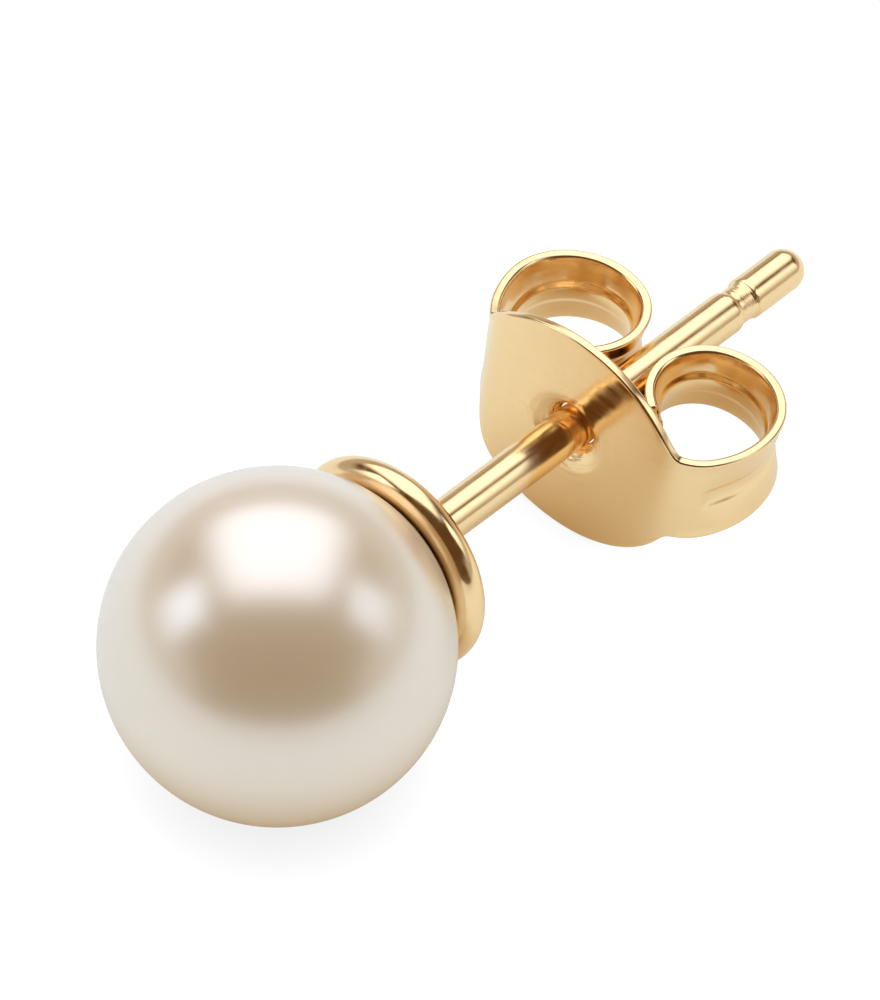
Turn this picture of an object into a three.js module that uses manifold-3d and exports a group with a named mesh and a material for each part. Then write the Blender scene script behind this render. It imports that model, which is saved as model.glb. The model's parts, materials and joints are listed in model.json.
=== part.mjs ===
// Pearl stud earring with a butterfly friction back, lying unworn on a table.
// Millimetres, +Z up. The post runs towards +Y and its tip dips to the table, because the
// earring rests on the pearl and on the lower edge of the clutch's oval disc.
import * as THREE from 'three';
import { mergeVertices } from 'three/addons/utils/BufferGeometryUtils.js';
import Module from 'manifold-3d';

const wasm = await Module();
wasm.setup();

// Pearl, half drilled from behind
const pearlRadius = 3.5;
const drillDepth = 2.4;

// Cup: a shallow seat behind the pearl, with a rounded bead for a rim
const beadRadius = 0.3;
const beadRingRadius = 2.01;
const beadGap = 0.1;
const seatGap = 0.05;
const seatRadius = 1.7;
const cupWall = 0.5;
const cupBackRadius = 1.45;

// Peg glued into the pearl, and the ear post behind the cup
const pegRadius = 0.35;
const pegGap = 0.05;
const pegEndGap = 0.2;
const postRadius = 0.445;
const postLength = 11.53;
const postFillet = 0.15;

// Notch near the post's tip, measured back from the end of the tip
const notchDepth = 0.06;
const notchStepFromTip = 1.55;
const notchWaistFromTip = 1.85;
const notchShoulderFromTip = 2.3;

// Clutch: one blank of sheet, an oval disc in the middle with a tapering ear on each side.
// rightFlat and leftFlat are how far the disc stays flat before the ears start to bend back.
// discRestHalfWidth is half of the short straight edge which the oval lies on, and its twin on top.
const lobeGap = 4.45;
const sheet = 0.21;
const discHalfWidth = 2.87;
const discHalfHeight = 2.47;
const discRestHalfWidth = 0.5;
const rightFlat = 2.16;
const leftFlat = 1.66;
const holeClearance = 0.1;
const holeLip = 0.12;
const earRootHalfWidth = 1.06;
const earTipHalfWidth = 0.66;
const gripGap = 0.06;

// Lengthwise channel pressed into each ear, which the post lies in
const channelDepth = 0.13;
const channelHalfWidth = 0.34;
const channelFloorHalfWidth = 0.12;
const channelStart = 0.3;
const channelRamp = 0.35;

// Each rolled ear in plan, as bends that follow one another from the flat disc to the cut end.
// radius is a share of the way from the end of the flat to the post, turn is in degrees.
const rightBends = [
  { radius: 0.63, turn: 57 },
  { radius: 1.24, turn: 54 },
  { radius: 0.96, turn: 86 },
  { radius: 0.66, turn: 90 },
  { radius: 0.80, turn: 44 },
];
const leftBends = [
  { radius: 0.77, turn: 45 },
  { radius: 2.45, turn: 34 },
  { radius: 1.21, turn: 119 },
  { radius: 0.94, turn: 67 },
  { radius: 1.07, turn: 60 },
];
const turnStep = 9;
const flatStep = 0.25;

// Facets round each turned piece, and the pearl's rings before and behind the point it lies on
const pearlSides = 40;
const pearlFrontRings = 12;
const pearlBackRings = 10;
const metalSides = 32;

const gold = { color: 0xd9a860, metalness: 1, roughness: 0.12 };
const nacre = { color: 0xe6dccf, metalness: 0, roughness: 0.25 };

// Places along the post's axis, measured from the pearl's centre
const seatSphere = pearlRadius + seatGap;
const cupBack = seatSphere + cupWall;
const tipEnd = cupBack + postLength;
const discFront = cupBack + lobeGap;
const discBack = discFront + sheet;
const holeRadius = postRadius + holeClearance;

// The post dips until the disc's lower back edge meets the table
const discReach = Math.hypot(discBack, discHalfHeight);
const restTilt = Math.asin(pearlRadius / discReach) - Math.atan2(discHalfHeight, discBack);

const degrees = Math.PI / 180;

function arcPoints(centreRadius, centreAxial, radius, fromAngle, toAngle, steps) {
  const points = [];
  for (let i = 0; i <= steps; i += 1) {
    const angle = fromAngle + ((toAngle - fromAngle) * i) / steps;
    points.push(new THREE.Vector2(
      centreRadius + radius * Math.cos(angle),
      centreAxial + radius * Math.sin(angle),
    ));
  }
  return points;
}

// Turned about the post's axis. start is 0 for a corner at the bottom, or half a facet for a flat.
function turned(profile, sides, start = Math.PI / sides) {
  return new THREE.LatheGeometry(profile, sides, start);
}

// One corner of its facets is the pearl's lowest point, so that it touches the table there
function pearlGeometry() {
  const drillRadius = pegRadius + pegGap;
  const mouthAngle = Math.acos(drillRadius / pearlRadius);
  const drillMouth = pearlRadius * Math.sin(mouthAngle);
  const profile = [
    ...arcPoints(0, 0, pearlRadius, -Math.PI / 2, restTilt, pearlFrontRings),
    ...arcPoints(0, 0, pearlRadius, restTilt, mouthAngle, pearlBackRings).slice(1),
  ];
  profile[0].x = 0;
  profile.push(new THREE.Vector2(drillRadius, drillMouth - drillDepth));
  profile.push(new THREE.Vector2(0, drillMouth - drillDepth));
  return turned(profile, pearlSides, 0);
}

function cupAndPostGeometry() {
  const pegEnd = pearlRadius - drillDepth + pegEndGap;
  const seatStart = Math.acos(pegRadius / seatSphere);
  const seatEnd = Math.acos(seatRadius / seatSphere);
  const beadAxial = Math.sqrt((pearlRadius + beadGap + beadRadius) ** 2 - beadRingRadius ** 2);
  const tipCentre = tipEnd - postRadius;
  const waist = postRadius - notchDepth;
  const profile = [
    new THREE.Vector2(0, pegEnd),
    new THREE.Vector2(pegRadius, pegEnd),
    ...arcPoints(0, 0, seatSphere, seatStart, seatEnd, 5),
    ...arcPoints(beadRingRadius, beadAxial, beadRadius, -130 * degrees, 100 * degrees, 9),
    new THREE.Vector2(cupBackRadius, cupBack),
    new THREE.Vector2(postRadius + postFillet, cupBack),
    new THREE.Vector2(postRadius, cupBack + postFillet),
    new THREE.Vector2(postRadius, tipEnd - notchShoulderFromTip),
    new THREE.Vector2(waist, tipEnd - notchWaistFromTip),
    new THREE.Vector2(waist + notchDepth / 2, tipEnd - notchStepFromTip),
    new THREE.Vector2(postRadius, tipEnd - notchStepFromTip),
    ...arcPoints(0, tipCentre, postRadius, 0, Math.PI / 2, 6),
  ];
  profile[profile.length - 1].x = 0;
  return turned(profile, metalSides);
}

function solidOf(geometry) {
  const plain = geometry.clone();
  plain.deleteAttribute('normal');
  plain.deleteAttribute('uv');
  const merged = mergeVertices(plain, 1e-5);
  const index = merged.index.array;
  const triVerts = [];
  for (let i = 0; i < index.length; i += 3) {
    const [a, b, c] = [index[i], index[i + 1], index[i + 2]];
    if (a !== b && b !== c && c !== a) triVerts.push(a, b, c);
  }
  return new wasm.Manifold(new wasm.Mesh({
    numProp: 3,
    vertProperties: Float32Array.from(merged.attributes.position.array),
    triVerts: Uint32Array.from(triVerts),
  }));
}

function geometryOf(solid) {
  const mesh = solid.getMesh();
  const geometry = new THREE.BufferGeometry();
  geometry.setAttribute('position', new THREE.BufferAttribute(mesh.vertProperties, 3));
  geometry.setIndex(new THREE.BufferAttribute(mesh.triVerts, 1));
  return geometry;
}

// Cuts the hole and rounds its mouth on the side that faces the pearl
function holeCutter() {
  const clear = 1;
  const profile = [
    new THREE.Vector2(0, discFront - clear),
    new THREE.Vector2(holeRadius + holeLip, discFront - clear),
    ...arcPoints(holeRadius + holeLip, discFront + holeLip, holeLip, -Math.PI / 2, -Math.PI, 4),
    new THREE.Vector2(holeRadius, discBack + clear),
    new THREE.Vector2(0, discBack + clear),
  ];
  return turned(profile, metalSides);
}

// Middle line of one half of the blank in plan, from beside the hole to the ear's cut end.
// across leads away from the post, along follows it, and travelled is the flat blank's length.
function halfPath(flat, bends, size) {
  const along = discFront + sheet / 2;
  const path = [];
  for (let across = flatStep; across < flat; across += flatStep) {
    path.push({ across, along, heading: 0, travelled: across });
  }
  let end = { across: flat, along, heading: 0, travelled: flat };
  path.push(end);
  for (const bend of bends) {
    const radius = bend.radius * size;
    const steps = Math.ceil(bend.turn / turnStep);
    const step = (bend.turn * degrees) / steps;
    for (let i = 0; i < steps; i += 1) {
      const heading = end.heading + step;
      end = {
        across: end.across + radius * (Math.sin(heading) - Math.sin(end.heading)),
        along: end.along + radius * (Math.cos(end.heading) - Math.cos(heading)),
        heading,
        travelled: end.travelled + radius * step,
      };
      path.push(end);
    }
  }
  return path;
}

// Sizes the roll so that the channel's floor just clears the post
function fittedPath(flat, bends) {
  const nearest = postRadius + gripGap - channelDepth + sheet / 2;
  const rolled = halfPath(flat, bends, 1).filter((place) => place.heading > Math.PI);
  const unitReach = flat - Math.min(...rolled.map((place) => place.across));
  return halfPath(flat, bends, (flat - nearest) / unitReach);
}

// Half the blank's width: the oval's outline with its short straight, then the ear's taper
function halfWidthAt(travelled, length) {
  const ovalHeight = discHalfHeight / Math.sqrt(1 - (discRestHalfWidth / discHalfWidth) ** 2);
  const root = discHalfWidth * Math.sqrt(1 - (earRootHalfWidth / ovalHeight) ** 2);
  if (travelled < root) {
    const oval = ovalHeight * Math.sqrt(1 - (travelled / discHalfWidth) ** 2);
    return Math.min(oval, discHalfHeight);
  }
  const share = (travelled - root) / (length - root);
  return earRootHalfWidth + (earTipHalfWidth - earRootHalfWidth) * share ** 0.8;
}

// The strip's section at one place: [distance out from the middle line, height], outer side first
function stripSection(travelled, length) {
  const half = halfWidthAt(travelled, length);
  const ramp = (travelled - discHalfWidth - channelStart) / channelRamp;
  const depth = channelDepth * Math.min(Math.max(ramp, 0), 1);
  const outer = [
    [sheet / 2, -half],
    [sheet / 2, -channelHalfWidth],
    [sheet / 2 - depth, -channelFloorHalfWidth],
    [sheet / 2 - depth, channelFloorHalfWidth],
    [sheet / 2, channelHalfWidth],
    [sheet / 2, half],
  ];
  const inner = outer.map(([out, up]) => [out - sheet, up]).reverse();
  return [...outer, ...inner];
}

// side is 1 for the right half and -1 for the left one
function sectionPoints(path, side) {
  const length = path[path.length - 1].travelled;
  return path.map((place) => stripSection(place.travelled, length).map(([out, up]) => [
    side * (place.across + out * Math.sin(place.heading)),
    place.along - out * Math.cos(place.heading),
    up,
  ]));
}

// The bent blank, before the hole is cut: sections joined from the left cut end to the right one
function bentBlank() {
  const left = sectionPoints(fittedPath(leftFlat, leftBends), -1).reverse();
  const right = sectionPoints(fittedPath(rightFlat, rightBends), 1);
  const sections = [...left, ...right];
  const around = sections[0].length;
  const index = [];
  for (let row = 0; row + 1 < sections.length; row += 1) {
    for (let i = 0; i < around; i += 1) {
      const a = row * around + i;
      const b = row * around + ((i + 1) % around);
      index.push(a, a + around, b);
      index.push(b, a + around, b + around);
    }
  }
  const last = (sections.length - 1) * around;
  for (let i = 0; i < around / 2 - 1; i += 1) {
    const [a, b, c, d] = [i, i + 1, around - 2 - i, around - 1 - i];
    index.push(a, b, c, a, c, d);
    index.push(last + a, last + c, last + b, last + a, last + d, last + c);
  }
  const geometry = new THREE.BufferGeometry();
  geometry.setAttribute('position', new THREE.Float32BufferAttribute(sections.flat(2), 3));
  geometry.setIndex(index);
  return geometry;
}

function clutchGeometry() {
  return geometryOf(solidOf(bentBlank()).subtract(solidOf(holeCutter())));
}

function piece(name, geometry, finish) {
  const mesh = new THREE.Mesh(geometry, new THREE.MeshStandardMaterial(finish));
  mesh.name = name;
  return mesh;
}

// The earring along its own axis, tipped to its resting tilt
const earring = new THREE.Group();
earring.add(piece('pearl', pearlGeometry(), nacre));
earring.add(piece('cup_and_post', cupAndPostGeometry(), gold));
earring.add(piece('butterfly_clutch', clutchGeometry(), gold));
earring.rotation.x = -restTilt;

// The origin is on the table, midway between the pearl's front and the tip
const frontReach = -pearlRadius;
const backReach = (tipEnd - postRadius) * Math.cos(restTilt) + postRadius;
earring.position.set(0, -(frontReach + backReach) / 2, pearlRadius);

const part = new THREE.Group();
part.add(earring);

export default part;
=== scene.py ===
import json
import math

import bpy
import numpy as np
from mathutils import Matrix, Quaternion, Vector


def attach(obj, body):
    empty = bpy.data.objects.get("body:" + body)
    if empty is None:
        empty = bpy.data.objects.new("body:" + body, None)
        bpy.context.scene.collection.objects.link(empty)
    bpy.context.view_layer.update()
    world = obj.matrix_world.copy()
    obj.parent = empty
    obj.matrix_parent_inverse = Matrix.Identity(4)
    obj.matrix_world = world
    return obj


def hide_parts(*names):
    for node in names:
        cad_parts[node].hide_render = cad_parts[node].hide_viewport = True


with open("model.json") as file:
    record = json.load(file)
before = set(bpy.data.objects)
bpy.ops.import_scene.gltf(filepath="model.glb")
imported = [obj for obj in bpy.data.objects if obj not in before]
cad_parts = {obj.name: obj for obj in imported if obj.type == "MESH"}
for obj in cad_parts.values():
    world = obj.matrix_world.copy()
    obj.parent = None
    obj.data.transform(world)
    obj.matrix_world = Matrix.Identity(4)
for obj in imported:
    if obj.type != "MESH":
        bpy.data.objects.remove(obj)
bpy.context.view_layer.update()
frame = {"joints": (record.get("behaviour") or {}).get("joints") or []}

# The earring's own frame, which starts at the pearl's centre: across to the right, along the post
# to its tip, and up
pearlCentre = Vector((0.0, -5.985, 3.5))
along = Vector(frame["joints"][0]["axis"]).normalized()
across = Vector((1, 0, 0))
up = across.cross(along)


def linearColour(text):
    shares = [int(text[i:i + 2], 16) / 255 for i in (1, 3, 5)]
    return tuple(s / 12.92 if s < 0.04045 else ((s + 0.055) / 1.055) ** 2.4 for s in shares) + (1,)


# Adds a node with its inputs, each a value or another node's output, and its settings
def addNode(tree, kind, inputs=None, **settings):
    node = tree.nodes.new(kind)
    for name, value in settings.items():
        setattr(node, name, value)
    for name, value in (inputs or {}).items():
        if isinstance(value, bpy.types.NodeSocket):
            tree.links.new(value, node.inputs[name])
        else:
            node.inputs[name].default_value = value
    return node


def newMaterial(name):
    material = bpy.data.materials.new(name)
    material.use_nodes = True
    material.node_tree.nodes.clear()
    return material, material.node_tree


# From the earring's own frame in mm to metres in the shared one
def toRow(points):
    basis = np.array([across, along, up])
    return (np.asarray(points) @ basis + np.array(pearlCentre)) / 1000


# Makes one piece. points are in the earring's own frame, and marks are the coordinates that its
# material's patterns run in, both in mm. Normals are weighted by area, so flat faces look flat.
def addPiece(name, points, faces, marks, body, node, material):
    mesh = bpy.data.meshes.new(name)
    mesh.from_pydata(toRow(points).tolist(), [], faces)
    mesh.attributes.new("pattern", "FLOAT_VECTOR", "POINT")
    mesh.attributes["pattern"].data.foreach_set("vector", np.asarray(marks, np.float32).ravel())
    mesh.validate()
    mesh.calc_loop_triangles()
    triangles = np.zeros(len(mesh.loop_triangles) * 3, np.int64)
    mesh.loop_triangles.foreach_get("vertices", triangles)
    triangles = triangles.reshape(-1, 3)
    corners = toRow(points)[triangles]
    areas = np.cross(corners[:, 1] - corners[:, 0], corners[:, 2] - corners[:, 0])
    volume = np.einsum("ij,ij->", corners[:, 0], areas)
    if volume < 0:
        mesh.flip_normals()
        areas = -areas
    normals = np.zeros((len(points), 3))
    for corner in range(3):
        np.add.at(normals, triangles[:, corner], areas)
    normals /= np.linalg.norm(normals, axis=1, keepdims=True) + 1e-30
    mesh.shade_smooth()
    mesh.normals_split_custom_set_from_vertices(normals.tolist())
    mesh.materials.append(material)
    piece = bpy.data.objects.new(name, mesh)
    bpy.context.scene.collection.objects.link(piece)
    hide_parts(node)
    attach(piece, body)
    print(name, len(triangles), "triangles")
    return piece


# Turns a profile of (radius, distance along) about the post's axis
def turned(profile, sides):
    points, rings = [], []
    for radius, distance in profile:
        if radius < 1e-6:
            rings.append([len(points)] * sides)
            points.append((0, distance, 0))
            continue
        rings.append(list(range(len(points), len(points) + sides)))
        angles = np.linspace(0, 2 * math.pi, sides, endpoint=False)
        points += [(radius * math.sin(t), distance, -radius * math.cos(t)) for t in angles]
    faces = []
    for ring, following in zip(rings, rings[1:]):
        for i in range(sides):
            j = (i + 1) % sides
            corners = [ring[i], ring[j], following[j], following[i]]
            faces.append(list(dict.fromkeys(corners)))
    return np.array(points), faces


# Part of a circle in a profile, with its angles in degrees from the radius towards the tip
def arc(centreRadius, centreAlong, radius, start, end, steps):
    angles = np.radians(np.linspace(start, end, steps + 1))
    return [(centreRadius + radius * math.cos(t), centreAlong + radius * math.sin(t)) for t in angles]


# Rounds the corner between two neighbouring points of a profile
def roundedCorner(before, corner, after, size, steps=5):
    before, corner, after = (np.array(p, float) for p in (before, corner, after))
    toBefore = (before - corner) / np.linalg.norm(before - corner)
    toAfter = (after - corner) / np.linalg.norm(after - corner)
    start, end = corner + toBefore * size, corner + toAfter * size
    shares = np.linspace(0, 1, steps + 1)[:, None]
    curve = (1 - shares) ** 2 * start + 2 * shares * (1 - shares) * corner + shares ** 2 * end
    return [tuple(point) for point in curve]


pearlValues = {
    "radius": 3.5,
    "drillRadius": 0.4,
    "drillDepth": 2.4,
    "sides": 192,
    "rings": 120,              # facets from the front to the hole
    "bodyColour": "#F3CF9D",   # cream body, seen straight on
    "edgeColour": "#D8BE9E",   # seen at a slant
    "roughness": 0.33,
    "lustreColour": "#F2F8FF", # what the layers mirror is a little cooler
    "layersIor": 4.9,          # the many thin layers mirror far more than one surface would
    "skinIor": 1.7,            # aragonite, the outermost layer
    "skinRoughness": 0.26,
    "cloudsPerMm": 0.5,
    "cloudiness": 0.04,        # how far the body's colour varies
    "wavesPerMm": 0.9,
    "waveHeight": 0.05,        # mm
}


# Nacre: the layers that a cultured pearl grew, polished by tumbling. They give it a deep and
# soft gloss over a cream body.
def nacreMaterial():
    v = pearlValues
    material, tree = newMaterial("cream pearl nacre, tumble polished")
    pattern = addNode(tree, "ShaderNodeAttribute", attribute_name="pattern")
    facing = addNode(tree, "ShaderNodeLayerWeight", {"Blend": 0.35})
    clouds = addNode(tree, "ShaderNodeTexNoise", {
        "Vector": pattern.outputs["Vector"], "Scale": v["cloudsPerMm"], "Detail": 3.0,
    })
    ramp = addNode(tree, "ShaderNodeValToRGB", {"Fac": facing.outputs["Facing"]})
    stops = ramp.color_ramp.elements
    stops[0].position, stops[0].color = 0.1, linearColour(v["bodyColour"])
    stops[1].position, stops[1].color = 0.75, linearColour(v["edgeColour"])
    cloudy = addNode(tree, "ShaderNodeMix", {
        0: v["cloudiness"], 6: ramp.outputs["Color"], 7: clouds.outputs["Color"],
    }, data_type="RGBA")
    waves = addNode(tree, "ShaderNodeTexNoise", {
        "Vector": pattern.outputs["Vector"], "Scale": v["wavesPerMm"], "Detail": 2.0,
    })
    bump = addNode(tree, "ShaderNodeBump", {
        "Height": waves.outputs["Fac"], "Strength": 0.12, "Distance": v["waveHeight"] / 1000,
    })
    shader = addNode(tree, "ShaderNodeBsdfPrincipled", {
        "Base Color": cloudy.outputs[2],
        "IOR": v["layersIor"],
        "Specular Tint": linearColour(v["lustreColour"]),
        "Roughness": v["roughness"],
        "Coat Weight": 1.0,
        "Coat IOR": v["skinIor"],
        "Coat Roughness": v["skinRoughness"],
        "Normal": bump.outputs["Normal"],
    })
    addNode(tree, "ShaderNodeOutputMaterial", {"Surface": shader.outputs["BSDF"]})
    return material


goldValues = {
    "colour": "#FAD9A4",       # what the bare alloy mirrors
    "roughness": 0.13,
    "brightest": 0.7,          # times that, where the wheel ran longest
    "dullest": 1.9,
    "wavesPerMm": 1.3,
    "waveHeight": 0.05,
    "scratchesPerMm": 4.0,
    "scratchHeight": 0.02,     # mm, far deeper than the real ones so that they show at all
}


# Marks of the polishing mop, which turned round the post's hole. They are drawn coarser than the
# real ones, which are under a hundredth of a millimetre apart.
def swirlMarks(tree, pattern):
    v = clutchValues
    split = addNode(tree, "ShaderNodeSeparateXYZ", {0: pattern.outputs["Vector"]})
    flat = addNode(tree, "ShaderNodeCombineXYZ", {"X": split.outputs["X"], "Y": split.outputs["Z"]})
    radius = addNode(tree, "ShaderNodeVectorMath", {0: flat.outputs[0]}, operation="LENGTH")
    angle = addNode(tree, "ShaderNodeMath", {
        0: split.outputs["Z"], 1: split.outputs["X"],
    }, operation="ARCTAN2")
    polar = addNode(tree, "ShaderNodeCombineXYZ", {"X": radius.outputs["Value"], "Y": angle.outputs[0]})
    rings = addNode(tree, "ShaderNodeMapping", {"Vector": polar.outputs[0], "Scale": v["swirlScale"]})
    noise = addNode(tree, "ShaderNodeTexNoise", {"Vector": rings.outputs[0], "Scale": 1.0, "Detail": 2.5})
    near = addNode(tree, "ShaderNodeMapRange", {
        "Value": radius.outputs["Value"],
        "From Min": v["swirlOuter"], "From Max": v["swirlInner"],
    }, interpolation_type="SMOOTHSTEP")
    return addNode(tree, "ShaderNodeMath", {
        0: noise.outputs["Fac"], 1: near.outputs["Result"],
    }, operation="MULTIPLY")


# Chatter that the lathe's tool left in the notch, coarser than the real marks too
def chatterMarks(tree, pattern):
    v = stemValues
    split = addNode(tree, "ShaderNodeSeparateXYZ", {0: pattern.outputs["Vector"]})
    rings = addNode(tree, "ShaderNodeMapping", {
        "Vector": pattern.outputs["Vector"], "Scale": v["chatterScale"],
    })
    noise = addNode(tree, "ShaderNodeTexNoise", {"Vector": rings.outputs[0], "Scale": 1.0, "Detail": 3.0})
    start, end = (addNode(tree, "ShaderNodeMapRange", {
        "Value": split.outputs["Y"], "From Min": v[name][0], "From Max": v[name][1],
    }) for name in ("chatterStarts", "chatterEnds"))
    inNotch = addNode(tree, "ShaderNodeMath", {
        0: start.outputs["Result"], 1: end.outputs["Result"],
    }, operation="MULTIPLY")
    return addNode(tree, "ShaderNodeMath", {
        0: noise.outputs["Fac"], 1: inNotch.outputs[0],
    }, operation="MULTIPLY")


# Gold: 14 carat yellow gold, buffed on a wheel, so it mirrors brightly but is softly waved.
# marks is the function that draws a piece's own tool marks, and markHeight their height in mm.
def goldMaterial(name, waviness, scratches, marks, markHeight):
    v = goldValues
    material, tree = newMaterial(name)
    pattern = addNode(tree, "ShaderNodeAttribute", attribute_name="pattern")
    waves = addNode(tree, "ShaderNodeTexNoise", {
        "Vector": pattern.outputs["Vector"], "Scale": v["wavesPerMm"], "Detail": 2.0,
    })
    stretched = addNode(tree, "ShaderNodeMapping", {"Vector": pattern.outputs["Vector"], "Scale": scratches})
    fine = addNode(tree, "ShaderNodeTexNoise", {
        "Vector": stretched.outputs["Vector"], "Scale": v["scratchesPerMm"], "Detail": 5.0,
    })
    rough = addNode(tree, "ShaderNodeMapRange", {
        "Value": fine.outputs["Fac"], "From Min": 0.3, "From Max": 0.75,
        "To Min": v["roughness"] * v["brightest"], "To Max": v["roughness"] * v["dullest"],
    })
    broad = addNode(tree, "ShaderNodeBump", {
        "Height": waves.outputs["Fac"], "Strength": waviness, "Distance": v["waveHeight"] / 1000,
    })
    bump = addNode(tree, "ShaderNodeBump", {
        "Height": fine.outputs["Fac"], "Strength": 0.05, "Distance": v["scratchHeight"] / 1000,
        "Normal": broad.outputs["Normal"],
    })
    tooled = addNode(tree, "ShaderNodeBump", {
        "Height": marks(tree, pattern).outputs[0], "Strength": 1.0, "Distance": markHeight / 1000,
        "Normal": bump.outputs["Normal"],
    })
    shader = addNode(tree, "ShaderNodeBsdfPrincipled", {
        "Base Color": linearColour(v["colour"]),
        "Metallic": 1.0,
        "Roughness": rough.outputs["Result"],
        "Normal": tooled.outputs["Normal"],
    })
    addNode(tree, "ShaderNodeOutputMaterial", {"Surface": shader.outputs["BSDF"]})
    return material


def buildPearl():
    v = pearlValues
    mouth = math.degrees(math.acos(v["drillRadius"] / v["radius"]))
    profile = arc(0, 0, v["radius"], -90, mouth, v["rings"])
    profile[0] = (0, -v["radius"])
    floor = profile[-1][1] - v["drillDepth"]
    profile += [(v["drillRadius"], floor), (0, floor)]
    points, faces = turned(profile, v["sides"])
    return addPiece("round_pearl", points, faces, points, "stud", "pearl", nacreMaterial())


stemValues = {
    "sides": 128,
    "pegEnd": 1.3,
    "pegRadius": 0.35,
    "pegEdge": 0.06,
    "seatSphere": 3.55,
    "seatRadius": 1.7,
    "beadRadius": 0.33,
    "beadRingRadius": 1.995,
    "beadDistance": 3.87,      # from the pearl's centre to the bead's
    "cupBack": 4.05,
    "cupBackRadius": 1.45,
    "cupEdge": 0.25,
    "postRadius": 0.445,
    "postFillet": 0.15,
    "tipEnd": 15.58,
    # The notch that the clutch clicks into, as (distance along, radius) from the shaft to the tip
    "notch": (
        (13.28, 0.445), (13.36, 0.4435), (13.41, 0.438), (13.45, 0.427),
        (13.475, 0.41), (13.492, 0.395), (13.52, 0.388), (13.6, 0.386),
        (13.76, 0.386), (13.84, 0.391), (13.89, 0.402), (13.935, 0.42),
    ),
    "notchStep": 13.945,       # the sharp step back up to the tip
    "stepSlope": 0.009,
    "stepLength": 0.05,
    "turningMark": 0.0012,     # height of the lathe's marks in the notch
    "turningPitch": 0.05,
    "neck": (13.5, 13.6, 13.88, 13.93),   # where they come up and fade out again
    "chatter": 0.012,                     # height of the tool's chatter
    "chatterScale": (2.5, 22.0, 2.5),     # per mm
    "chatterStarts": (13.5, 13.62),
    "chatterEnds": (13.95, 13.9),
    "waviness": 0.1,
    "scratches": (1.0, 0.25, 1.0),        # drawn out along the post
}


def buildStem():
    v = stemValues
    seat = v["seatSphere"]
    seatStart = math.degrees(math.acos(v["pegRadius"] / seat))
    seatEnd = math.degrees(math.acos(v["seatRadius"] / seat))
    beadAlong = math.sqrt(v["beadDistance"] ** 2 - v["beadRingRadius"] ** 2)
    bead = arc(v["beadRingRadius"], beadAlong, v["beadRadius"], -130, 80, 28)
    post, back = v["postRadius"], v["cupBack"]
    knots = np.array(v["notch"])
    notch = []
    for place in np.linspace(knots[0, 0], knots[-1, 0], 72):
        radius = np.interp(place, knots[:, 0], knots[:, 1])
        inNeck = np.interp(place, v["neck"], (0, 1, 1, 0))
        mark = v["turningMark"] * inNeck * (0.5 + 0.5 * math.sin(place * 2 * math.pi / v["turningPitch"]))
        notch.append((radius - mark, place))
    step, tip = v["notchStep"], v["tipEnd"] - post
    peg, pegEnd = v["pegRadius"], v["pegEnd"]
    profile = [(0, pegEnd)]
    profile += roundedCorner((0, pegEnd), (peg, pegEnd), (peg, 2), v["pegEdge"])
    profile += arc(0, 0, seat, seatStart, seatEnd, 20)
    profile += bead
    profile += roundedCorner(bead[-1], (v["cupBackRadius"] + 0.1, back), (0, back), v["cupEdge"], 8)
    profile += arc(post + v["postFillet"], back + v["postFillet"], v["postFillet"], -90, -180, 8)
    profile += notch
    foot, shoulder = (post - v["stepSlope"], step), (post, step + v["stepLength"])
    profile += roundedCorner(notch[-1], foot, shoulder, 0.01, 3)
    profile += roundedCorner(foot, shoulder, (post, tip), 0.04, 4)
    profile += arc(0, tip, post, 0, 90, 20)
    profile[-1] = (0, v["tipEnd"])
    points, faces = turned(profile, v["sides"])
    name = "yellow gold cup and post, wheel polished"
    gold = goldMaterial(name, v["waviness"], v["scratches"], chatterMarks, v["chatter"])
    return addPiece("bead_cup_and_post", points, faces, points, "stud", "cup_and_post", gold)


clutchValues = {
    "middle": 8.605,           # middle of the disc's sheet, along the post
    "sheet": 0.21,
    "edgeRound": 0.06,         # the stamped edge, softened by polishing
    "halfWidth": 2.87,
    "halfHeight": 2.49,
    "earRoot": 1.06,           # half widths of the ears
    "earTip": 0.66,
    "earFillet": 0.35,
    "earCorner": 0.12,
    "rightFlat": 2.16,         # how far the disc stays flat before the first bend
    "leftFlat": 1.66,
    # (radius in mm, turn in degrees) of each bend, from the disc to the ear's cut end
    "rightBends": ((1.061, 57), (2.088, 54), (1.616, 86), (1.111, 90), (1.347, 44)),
    "leftBends": ((0.915, 45), (2.913, 34), (1.439, 119), (1.118, 67), (1.272, 60)),
    "holeRadius": 0.545,
    "holeBack": 0.465,         # the hole narrows towards the back, as a punched one does
    "holeLip": 0.07,
    "holeBackEdge": 0.03,
    "holeBlock": 1.1,          # half the square of mesh that is redrawn round the hole
    "collarDepth": 0.21,       # the sheet round the hole is drawn backwards
    "collarReach": 0.48,
    "channelDepth": 0.05,      # the groove that the post lies in
    "channelHalfWidth": 0.3,
    "channelFloor": 0.12,
    "channelFrom": 3.17,
    "channelRamp": 0.2,
    "valleyFrom": 2.9,
    "valleyRamp": 0.9,
    "valleyDepth": 0.1,        # the whole ear is bent a little across its width as well
    "valleyHalfWidth": 0.85,
    "mouthFlare": 0.04,        # and its edges turn out again
    "mouthWidth": 0.3,
    "mouthFrom": 2.4,
    "swirl": 0.03,             # height of the mop's marks
    "swirlScale": (9.0, 0.8, 1.0),   # rings per mm, and how often one breaks per radian
    "swirlInner": 0.7,         # mm from the hole's middle, fading out to the next
    "swirlOuter": 1.5,
    "waviness": 0.25,
    "scratches": (0.3, 1.0, 1.6),   # drawn out along the strip
    "columnStep": 0.055,
    "cutEnd": 0.15,            # length of blank at each cut end that has the closer columns
    "rows": 56,
}


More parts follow.
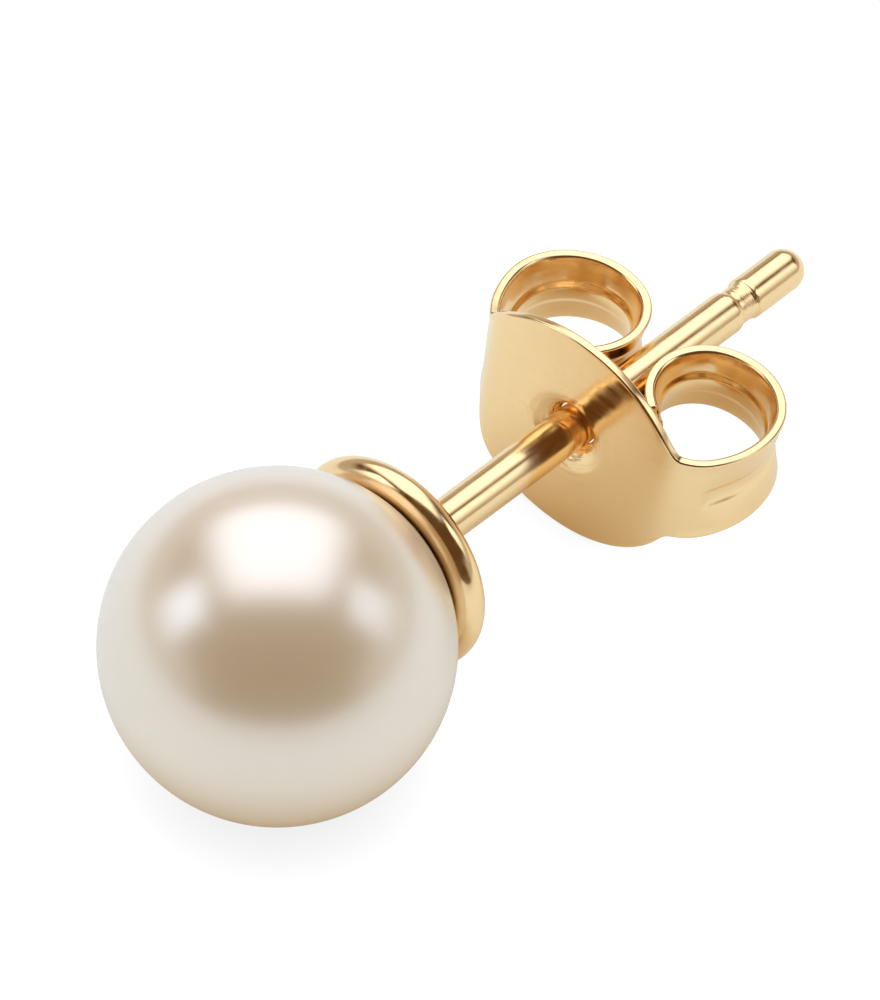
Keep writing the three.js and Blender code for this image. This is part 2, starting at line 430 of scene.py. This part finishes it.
# Centre line of one half of the blank, as distance travelled, across, along and heading
def bendPath(flat, bends):
    fine = 0.01
    curvature = [0] * round(flat / fine)
    for radius, turn in bends:
        curvature += [1 / radius] * round(math.radians(turn) * radius / fine)
    curvature = np.array(curvature, float)
    window = np.ones(35) / 35
    for _ in range(2):
        curvature = np.convolve(np.pad(curvature, 17, mode="edge"), window, mode="valid")
    heading = np.concatenate([[0], np.cumsum(curvature) * fine])
    middle = (heading[1:] + heading[:-1]) / 2
    outwards = np.concatenate([[0], np.cumsum(np.cos(middle)) * fine])
    onwards = np.concatenate([[0], np.cumsum(np.sin(middle)) * fine])
    return np.arange(len(heading)) * fine, outwards, onwards + clutchValues["middle"], heading


# Half the flat blank's width, with the corners at the cut end rounded
def halfWidths(travelled, length):
    v = clutchValues
    places = np.linspace(0, length, 2000)
    oval = v["halfHeight"] * np.sqrt(np.clip(1 - (places / v["halfWidth"]) ** 2, 0, 1))
    root = v["halfWidth"] * math.sqrt(1 - (v["earRoot"] / v["halfHeight"]) ** 2)
    share = np.clip((places - root) / (length - root), 0, 1)
    ear = v["earRoot"] + (v["earTip"] - v["earRoot"]) * share ** 0.8
    width = np.where(places < root, oval, ear)
    size = 45
    smooth = np.convolve(np.pad(width, size // 2, mode="edge"), np.ones(size) / size, mode="valid")
    near = np.exp(-((places - root) / v["earFillet"]) ** 4)
    width = width * (1 - near) + smooth * near
    corner = v["earCorner"]
    past = np.clip(places - (length - corner), 0, corner)
    width = width - (corner - np.sqrt(corner ** 2 - past ** 2))
    return np.interp(travelled, places, width), np.interp(travelled, places, np.gradient(width, places))


def buildClutch():
    v = clutchValues
    paths = {1: bendPath(v["rightFlat"], v["rightBends"]), -1: bendPath(v["leftFlat"], v["leftBends"])}
    lengths = {side: paths[side][0][-1] for side in paths}
    half, edge, rows = v["sheet"] / 2, v["edgeRound"], v["rows"]

    # Columns run along the flat blank, closer together at its cut ends
    columns = {}
    for side in (1, -1):
        evenly = lengths[side] - v["cutEnd"]
        steps = round(evenly / v["columnStep"])
        plain = np.arange(0, steps) * evenly / steps
        ending = lengths[side] - v["cutEnd"] * np.cos(np.linspace(0, math.pi / 2, 9))
        columns[side] = np.concatenate([plain, ending])
    places = np.concatenate([-columns[-1][:0:-1], columns[1]])
    count = len(places)
    widths, slopes, thick = np.zeros(count), np.zeros(count), np.zeros(count)
    for side in (1, -1):
        mine = places * side >= 0
        widths[mine], slope = halfWidths(np.abs(places[mine]), lengths[side])
        slopes[mine] = slope * side
        left = np.clip(lengths[side] - np.abs(places[mine]), 0, edge)
        thick[mine] = 1 - (edge - np.sqrt(edge ** 2 - (edge - left) ** 2)) / half
    slopes = np.clip(slopes, -3, 3)
    normalLength = np.sqrt(1 + slopes ** 2)
    outU, outW = -slopes / normalLength, 1 / normalLength

    # One loop of points round each column's section: front face, rim, back face, rim
    shares = np.linspace(-1, 1, rows + 1)
    turns = np.radians(np.linspace(90, 0, 5))
    rim = [(edge * (1 - math.cos(t)), half - edge + edge * math.sin(t)) for t in turns]
    rim = rim[1:] + [(inset, -height) for inset, height in rim[::-1]][:-1]
    u, w, h = [], [], []
    for share in shares:
        u.append(places - edge * outU * share ** 6)
        w.append((widths - edge * outW) * share)
        h.append(np.full(count, half))
    for inset, height in rim:
        u.append(places - inset * outU)
        w.append(widths - inset * outW)
        h.append(np.full(count, height))
    for share in shares[::-1]:
        u.append(places - edge * outU * share ** 6)
        w.append((widths - edge * outW) * share)
        h.append(np.full(count, -half))
    for inset, height in rim[::-1]:
        u.append(places - inset * outU)
        w.append(-(widths - inset * outW))
        h.append(np.full(count, height))
    u, w, h = (np.array(a).T for a in (u, w, h))
    h = h * thick[:, None]
    around = u.shape[1]
    index = np.arange(count * around).reshape(count, around)
    backRow = rows + 1 + len(rim)

    # The hole takes a block of cells out of both faces
    block = v["holeBlock"]
    inside = np.where(np.abs(places) <= block)[0]
    firstColumn, lastColumn = inside[0], inside[-1]
    firstRow = int(np.argmin(np.abs(shares * v["halfHeight"] + block)))
    lastRow = rows - firstRow
    faces = []
    for i in range(count - 1):
        for j in range(around):
            following = (j + 1) % around
            front = firstRow <= j < lastRow
            backed = firstRow <= (backRow + rows - 1 - j) < lastRow and backRow <= j < backRow + rows
            if firstColumn <= i < lastColumn and (front or backed):
                continue
            faces.append([index[i, j], index[i + 1, j], index[i + 1, following], index[i, following]])

    # Caps on the two cut ends
    for i in (0, count - 1):
        for j in range(rows):
            mirror = backRow + rows - j
            faces.append([index[i, j], index[i, j + 1], index[i, mirror - 1], index[i, mirror]])
        faces.append([index[i, rows + k] for k in range(len(rim) + 2)])
        faces.append([index[i, (backRow + rows + k) % around] for k in range(len(rim) + 2)])

    # Rings from the block's outline to the hole, over its lip, through and out again
    outline = [(i, firstRow) for i in range(firstColumn, lastColumn)]
    outline += [(lastColumn, j) for j in range(firstRow, lastRow)]
    outline += [(i, lastRow) for i in range(lastColumn, firstColumn, -1)]
    outline += [(firstColumn, j) for j in range(lastRow, firstRow, -1)]
    frontRing = np.array([index[i, j] for i, j in outline])
    backRing = np.array([index[i, backRow + rows - j] for i, j in outline])
    flatU, flatW, flatH = u.ravel(), w.ravel(), h.ravel()
    ringU, ringW = flatU[frontRing], flatW[frontRing]
    angles = np.arctan2(ringW, ringU)
    hole, narrow, lip, backEdge = v["holeRadius"], v["holeBack"], v["holeLip"], v["holeBackEdge"]
    extraU, extraW, extraH, rings = [], [], [], [frontRing]
    total = len(flatU)

    def addRing(share, radius, height):
        nonlocal total
        extraU.append((1 - share) * ringU + share * radius * np.cos(angles))
        extraW.append((1 - share) * ringW + share * radius * np.sin(angles))
        extraH.append(np.full(len(angles), height))
        rings.append(np.arange(total, total + len(angles)))
        total += len(angles)

    for share in np.linspace(0, 1, 15)[1:]:
        addRing(share, hole + lip, half)
    for t in np.radians(np.linspace(0, 90, 9)[1:]):
        addRing(1, hole + lip - lip * math.sin(t), half - lip * (1 - math.cos(t)))
    for share in np.linspace(0, 1, 6)[1:]:
        addRing(1, hole + (narrow - hole) * share ** 0.7, half - lip + share * (lip - 2 * half + backEdge))
    for t in np.radians(np.linspace(0, 90, 5))[1:]:
        addRing(1, narrow + backEdge * (1 - math.cos(t)), -half + backEdge * (1 - math.sin(t)))
    for share in np.linspace(1, 0, 15)[1:-1]:
        addRing(share, narrow + backEdge, -half)
    rings.append(backRing)
    for ring, following in zip(rings, rings[1:]):
        for k in range(len(ring)):
            n = (k + 1) % len(ring)
            faces.append([ring[k], ring[n], following[n], following[k]])
    flatU = np.concatenate([flatU] + extraU)
    flatW = np.concatenate([flatW] + extraW)
    flatH = np.concatenate([flatH] + extraH)

    # Points inside the removed blocks are no longer used
    used = np.zeros(len(flatU), bool)
    used[np.concatenate([np.asarray(f) for f in faces])] = True
    renumber = np.cumsum(used) - 1
    faces = [renumber[np.asarray(f)].tolist() for f in faces]
    flatU, flatW, flatH = flatU[used], flatW[used], flatH[used]

    # The relief pressed into the sheet, then the bending
    def eased(share):
        share = np.clip(share, 0, 1)
        return share * share * (3 - 2 * share)

    distance, aside = np.abs(flatU), np.abs(flatW)
    widthThere = np.interp(flatU, places, widths)
    begins = eased((distance - v["channelFrom"]) / v["channelRamp"])
    channel = begins * (1 - eased((aside - v["channelFloor"]) / (v["channelHalfWidth"] - v["channelFloor"])))
    bends = eased((distance - v["valleyFrom"]) / v["valleyRamp"])
    valley = bends * (1 - eased(aside / v["valleyHalfWidth"]))
    opens = eased((distance - v["mouthFrom"]) / v["valleyRamp"])
    mouth = opens * np.clip((aside - widthThere + v["mouthWidth"]) / v["mouthWidth"], 0, 1) ** 2
    collar = np.clip(1 - (np.hypot(flatU, flatW) - hole) / v["collarReach"], 0, 1) ** 2
    height = flatH - v["collarDepth"] * collar - v["channelDepth"] * channel
    height = height - v["valleyDepth"] * valley + v["mouthFlare"] * mouth
    points = np.zeros((len(flatU), 3))
    for sign in (1, -1):
        mine = flatU >= 0 if sign == 1 else flatU < 0
        travelled, outwards, onwards, heading = paths[sign]
        a = np.interp(distance[mine], travelled, outwards)
        b = np.interp(distance[mine], travelled, onwards)
        t = np.interp(distance[mine], travelled, heading)
        points[mine, 0] = sign * (a + height[mine] * np.sin(t))
        points[mine, 1] = b - height[mine] * np.cos(t)
        points[mine, 2] = flatW[mine]
    marks = np.stack([flatU, flatH, flatW], axis=1)
    name = "yellow gold sheet, stamped, rolled and polished"
    gold = goldMaterial(name, v["waviness"], v["scratches"], swirlMarks, v["swirl"])
    return addPiece(
        "rolled_butterfly_clutch", points, faces, marks, "clutch", "butterfly_clutch", gold)


# The white table, translucent and lit a little from below, so that its shadows are weak in the light it sends
# back. To the camera it shows a painted shadow instead: a glow dimmed by ambient occlusion.
floorValues = {
    "halfSize": 4.0,                   # metres, so it runs on past the soft boxes
    "albedo": (0.6, 0.7, 0.8),         # share of the light from above that it sends back
    "glow": (0.3, 0.235, 0.12),        # light from below, which is warmer
    "paintedShadeReach": 0.0035,               # metres within which things above it darken and warm it, a painted shade
    "paintedWarmShade": (0.62, 0.37, 0.14),   # painted warm shade: its share of light where the earring covers it wholly
    "matLift": 2.2,                    # times the glow that matt surfaces get from below
    "shadowReach": 0.0017,             # metres within which things above dim it for the camera, a painted shadow
    "shadeSeen": 0.77,                 # its brightness to the camera where it's wholly covered
    "openSeen": 1.1,                   # and in the open, exposed to pure white
}


def buildFloor():
    v = floorValues
    mesh = bpy.data.meshes.new("white_table")
    size = v["halfSize"]
    corners = [(-size, -size, 0), (size, -size, 0), (size, size, 0), (-size, size, 0)]
    mesh.from_pydata(corners, [], [(0, 1, 2, 3)])
    material, tree = newMaterial("white translucent acrylic table, matt")
    seen = addNode(tree, "ShaderNodeLightPath")
    # Painted warm shade: ambient occlusion darkens and warms the table's colour and glow where things stand
    # close above it
    uncovered = addNode(tree, "ShaderNodeAmbientOcclusion", {"Distance": v["paintedShadeReach"]}, samples=6)
    shade = addNode(tree, "ShaderNodeMix", {
        0: uncovered.outputs["AO"], 6: v["paintedWarmShade"] + (1,), 7: (1, 1, 1, 1),
    }, data_type="RGBA")
    colours = [addNode(tree, "ShaderNodeMix", {
        0: 1.0, 6: shade.outputs[2], 7: v[name] + (1,),
    }, data_type="RGBA", blend_type="MULTIPLY") for name in ("albedo", "glow")]
    diffuse = addNode(tree, "ShaderNodeBsdfDiffuse", {"Color": colours[0].outputs[2]})
    lift = addNode(tree, "ShaderNodeMapRange", {
        "Value": seen.outputs["Is Diffuse Ray"], "To Min": 1.0, "To Max": v["matLift"],
    })
    glow = addNode(tree, "ShaderNodeEmission", {
        "Color": colours[1].outputs[2], "Strength": lift.outputs["Result"],
    })
    table = addNode(tree, "ShaderNodeAddShader", {0: diffuse.outputs[0], 1: glow.outputs[0]})
    # Painted shadow: what the camera sees is a glow dimmed by ambient occlusion from things close above
    openness = addNode(tree, "ShaderNodeAmbientOcclusion", {"Distance": v["shadowReach"]}, samples=16)
    level = addNode(tree, "ShaderNodeMapRange", {
        "Value": openness.outputs["AO"], "To Min": v["shadeSeen"], "To Max": v["openSeen"],
    })
    shown = addNode(tree, "ShaderNodeEmission", {"Strength": level.outputs["Result"]})
    both = addNode(tree, "ShaderNodeMixShader", {
        0: seen.outputs["Is Camera Ray"], 1: table.outputs[0], 2: shown.outputs[0],
    })
    addNode(tree, "ShaderNodeOutputMaterial", {"Surface": both.outputs[0]})
    mesh.materials.append(material)
    floor = bpy.data.objects.new("white_table", mesh)
    bpy.context.scene.collection.objects.link(floor)


cameraValues = {
    "azimuth": 42.3,           # degrees to the right of straight in front of the pearl
    "elevation": 51.2,
    "distance": 235.0,
    "pictureWidth": 880,
    "pictureHeight": 1000,
    "focalPixels": 12161.0,    # focal length in pixels of that picture
    "pearlAt": (277.27, 646.36),   # the pearl's middle in it
}


# The direction from the pearl at these angles, azimuths running from the pearl's front to the right
def towards(azimuth, elevation):
    a, e = math.radians(azimuth), math.radians(elevation)
    return Vector((math.sin(a) * math.cos(e), -math.cos(a) * math.cos(e), math.sin(e)))


def addCamera():
    v = cameraValues
    back = towards(v["azimuth"], v["elevation"])
    data = bpy.data.cameras.new("camera")
    data.sensor_width = 36
    data.lens = v["focalPixels"] * data.sensor_width / v["pictureHeight"]
    data.clip_start, data.clip_end = 0.01, 50
    camera = bpy.data.objects.new("camera", data)
    camera.location = pearlCentre / 1000 + back * v["distance"] / 1000
    camera.rotation_mode = "QUATERNION"
    level = (-back).to_track_quat("-Z", "Y")
    yaw = math.atan((v["pictureWidth"] / 2 - v["pearlAt"][0]) / v["focalPixels"])
    pitch = math.atan((v["pearlAt"][1] - v["pictureHeight"] / 2) / v["focalPixels"])
    camera.rotation_quaternion = level @ Quaternion((0, 1, 0), -yaw) @ Quaternion((1, 0, 0), pitch)
    bpy.context.scene.collection.objects.link(camera)
    bpy.context.scene.camera = camera


# The studio. These azimuths run from the camera's side to the right, half sizes are shares of the
# distance, and fades are the shares of a box over which its light comes up from its four edges,
# in the order own -X, own +X, bottom, top.
lightValues = {
    "topSoftbox": {
        "azimuth": 180, "elevation": 61.5, "halfWidth": 0.93, "halfHeight": 0.88,
        "radiance": 1.75, "colour": "#F3F8FF", "fades": (0.28, 0.28, 0.2, 0.2),
    },
    "leftSoftbox": {
        "azimuth": -92, "elevation": 27, "halfWidth": 0.3, "halfHeight": 0.35,
        "radiance": 2.0, "colour": "#E6F3FF", "fades": (0.25, 0.25, 0.6, 0.06),
    },
    "rightSoftbox": {
        "azimuth": 92, "elevation": 27, "halfWidth": 0.3, "halfHeight": 0.35,
        "radiance": 1.6, "colour": "#E6F3FF", "fades": (0.25, 0.25, 0.6, 0.06),
    },
}
roomValues = {
    "distance": 0.6,                      # metres to the soft boxes
    "dark": (0.11, 0.058, 0.024, 1),      # the unlit room round the camera and between the boxes
    "wall": (0.5, 0.46, 0.42, 1),         # the pale walls that stand low round the rest of the table
    "wallTop": (0.25, 0.42),              # sines of the elevations where the walls fade out
    "wallEnds": (0.45, 0.75),             # and cosines of the azimuths where they end
    "ambient": (0.42, 0.42, 0.42, 1),     # what the whole room adds to matt surfaces
    "backdrop": (1, 1, 1, 1),             # what the camera sees past the table
}


# A soft box whose light fades towards its edges, as a real diffuser's does
def addSoftbox(name, values):
    direction = towards(cameraValues["azimuth"] + values["azimuth"], values["elevation"])
    distance = roomValues["distance"]
    data = bpy.data.lights.new(name, "AREA")
    data.shape = "RECTANGLE"
    data.size, data.size_y = 2 * values["halfWidth"] * distance, 2 * values["halfHeight"] * distance
    data.energy = values["radiance"] * data.size * data.size_y * math.pi
    data.use_nodes = True
    tree = data.node_tree
    tree.nodes.clear()
    place = addNode(tree, "ShaderNodeNewGeometry")
    split = addNode(tree, "ShaderNodeSeparateXYZ", {0: place.outputs["Parametric"]})
    strength = None
    for number, fade in enumerate(values["fades"]):
        axis, fromFarEdge = "XXYY"[number], number % 2 == 1
        edge = addNode(tree, "ShaderNodeMapRange", {
            "Value": split.outputs[axis],
            "From Min": 1.0 if fromFarEdge else 0.0,
            "From Max": 1.0 - fade if fromFarEdge else fade,
        }, interpolation_type="SMOOTHSTEP")
        strength = edge.outputs["Result"] if strength is None else addNode(
            tree, "ShaderNodeMath", {0: strength, 1: edge.outputs["Result"]}, operation="MULTIPLY").outputs[0]
    glow = addNode(tree, "ShaderNodeEmission", {
        "Color": linearColour(values["colour"]), "Strength": strength,
    })
    addNode(tree, "ShaderNodeOutputLight", {"Surface": glow.outputs[0]})
    light = bpy.data.objects.new(name, data)
    light.location = pearlCentre / 1000 + direction * distance
    light.rotation_mode = "QUATERNION"
    light.rotation_quaternion = (-direction).to_track_quat("-Z", "Y")
    light.visible_camera = False
    bpy.context.scene.collection.objects.link(light)


def buildLights():
    v = roomValues
    for name, values in lightValues.items():
        addSoftbox(name, values)
    world = bpy.data.worlds.new("dim warm studio")
    world.use_nodes = True
    tree = world.node_tree
    tree.nodes.clear()
    seen = addNode(tree, "ShaderNodeLightPath")
    place = addNode(tree, "ShaderNodeTexCoord")
    a = math.radians(cameraValues["azimuth"])
    towardsCamera = addNode(tree, "ShaderNodeVectorMath", {
        0: place.outputs["Generated"], 1: (math.sin(a), -math.cos(a), 0),
    }, operation="DOT_PRODUCT")
    split = addNode(tree, "ShaderNodeSeparateXYZ", {0: place.outputs["Generated"]})
    aside = addNode(tree, "ShaderNodeMapRange", {
        "Value": towardsCamera.outputs["Value"], "From Min": v["wallEnds"][1], "From Max": v["wallEnds"][0],
    }, interpolation_type="SMOOTHSTEP")
    low = addNode(tree, "ShaderNodeMapRange", {
        "Value": split.outputs["Z"], "From Min": v["wallTop"][1], "From Max": v["wallTop"][0],
    }, interpolation_type="SMOOTHSTEP")
    isWall = addNode(tree, "ShaderNodeMath", {
        0: aside.outputs["Result"], 1: low.outputs["Result"],
    }, operation="MULTIPLY")
    roomColour = addNode(tree, "ShaderNodeMix", {
        0: isWall.outputs[0], 6: v["dark"], 7: v["wall"],
    }, data_type="RGBA")
    ambient = addNode(tree, "ShaderNodeBackground", {"Color": v["ambient"]})
    mirrored = addNode(tree, "ShaderNodeBackground", {"Color": roomColour.outputs[2]})
    backdrop = addNode(tree, "ShaderNodeBackground", {"Color": v["backdrop"]})
    room = addNode(tree, "ShaderNodeMixShader", {
        0: seen.outputs["Is Glossy Ray"], 1: ambient.outputs[0], 2: mirrored.outputs[0],
    })
    chosen = addNode(tree, "ShaderNodeMixShader", {
        0: seen.outputs["Is Camera Ray"], 1: room.outputs[0], 2: backdrop.outputs[0],
    })
    addNode(tree, "ShaderNodeOutputWorld", {"Surface": chosen.outputs[0]})
    bpy.context.scene.world = world
    bpy.context.scene.view_settings.view_transform = "Standard"


addCamera()
print("camera placed, now the pieces")
buildPearl()
buildStem()
buildClutch()
buildFloor()
buildLights()
print("table and lights placed")
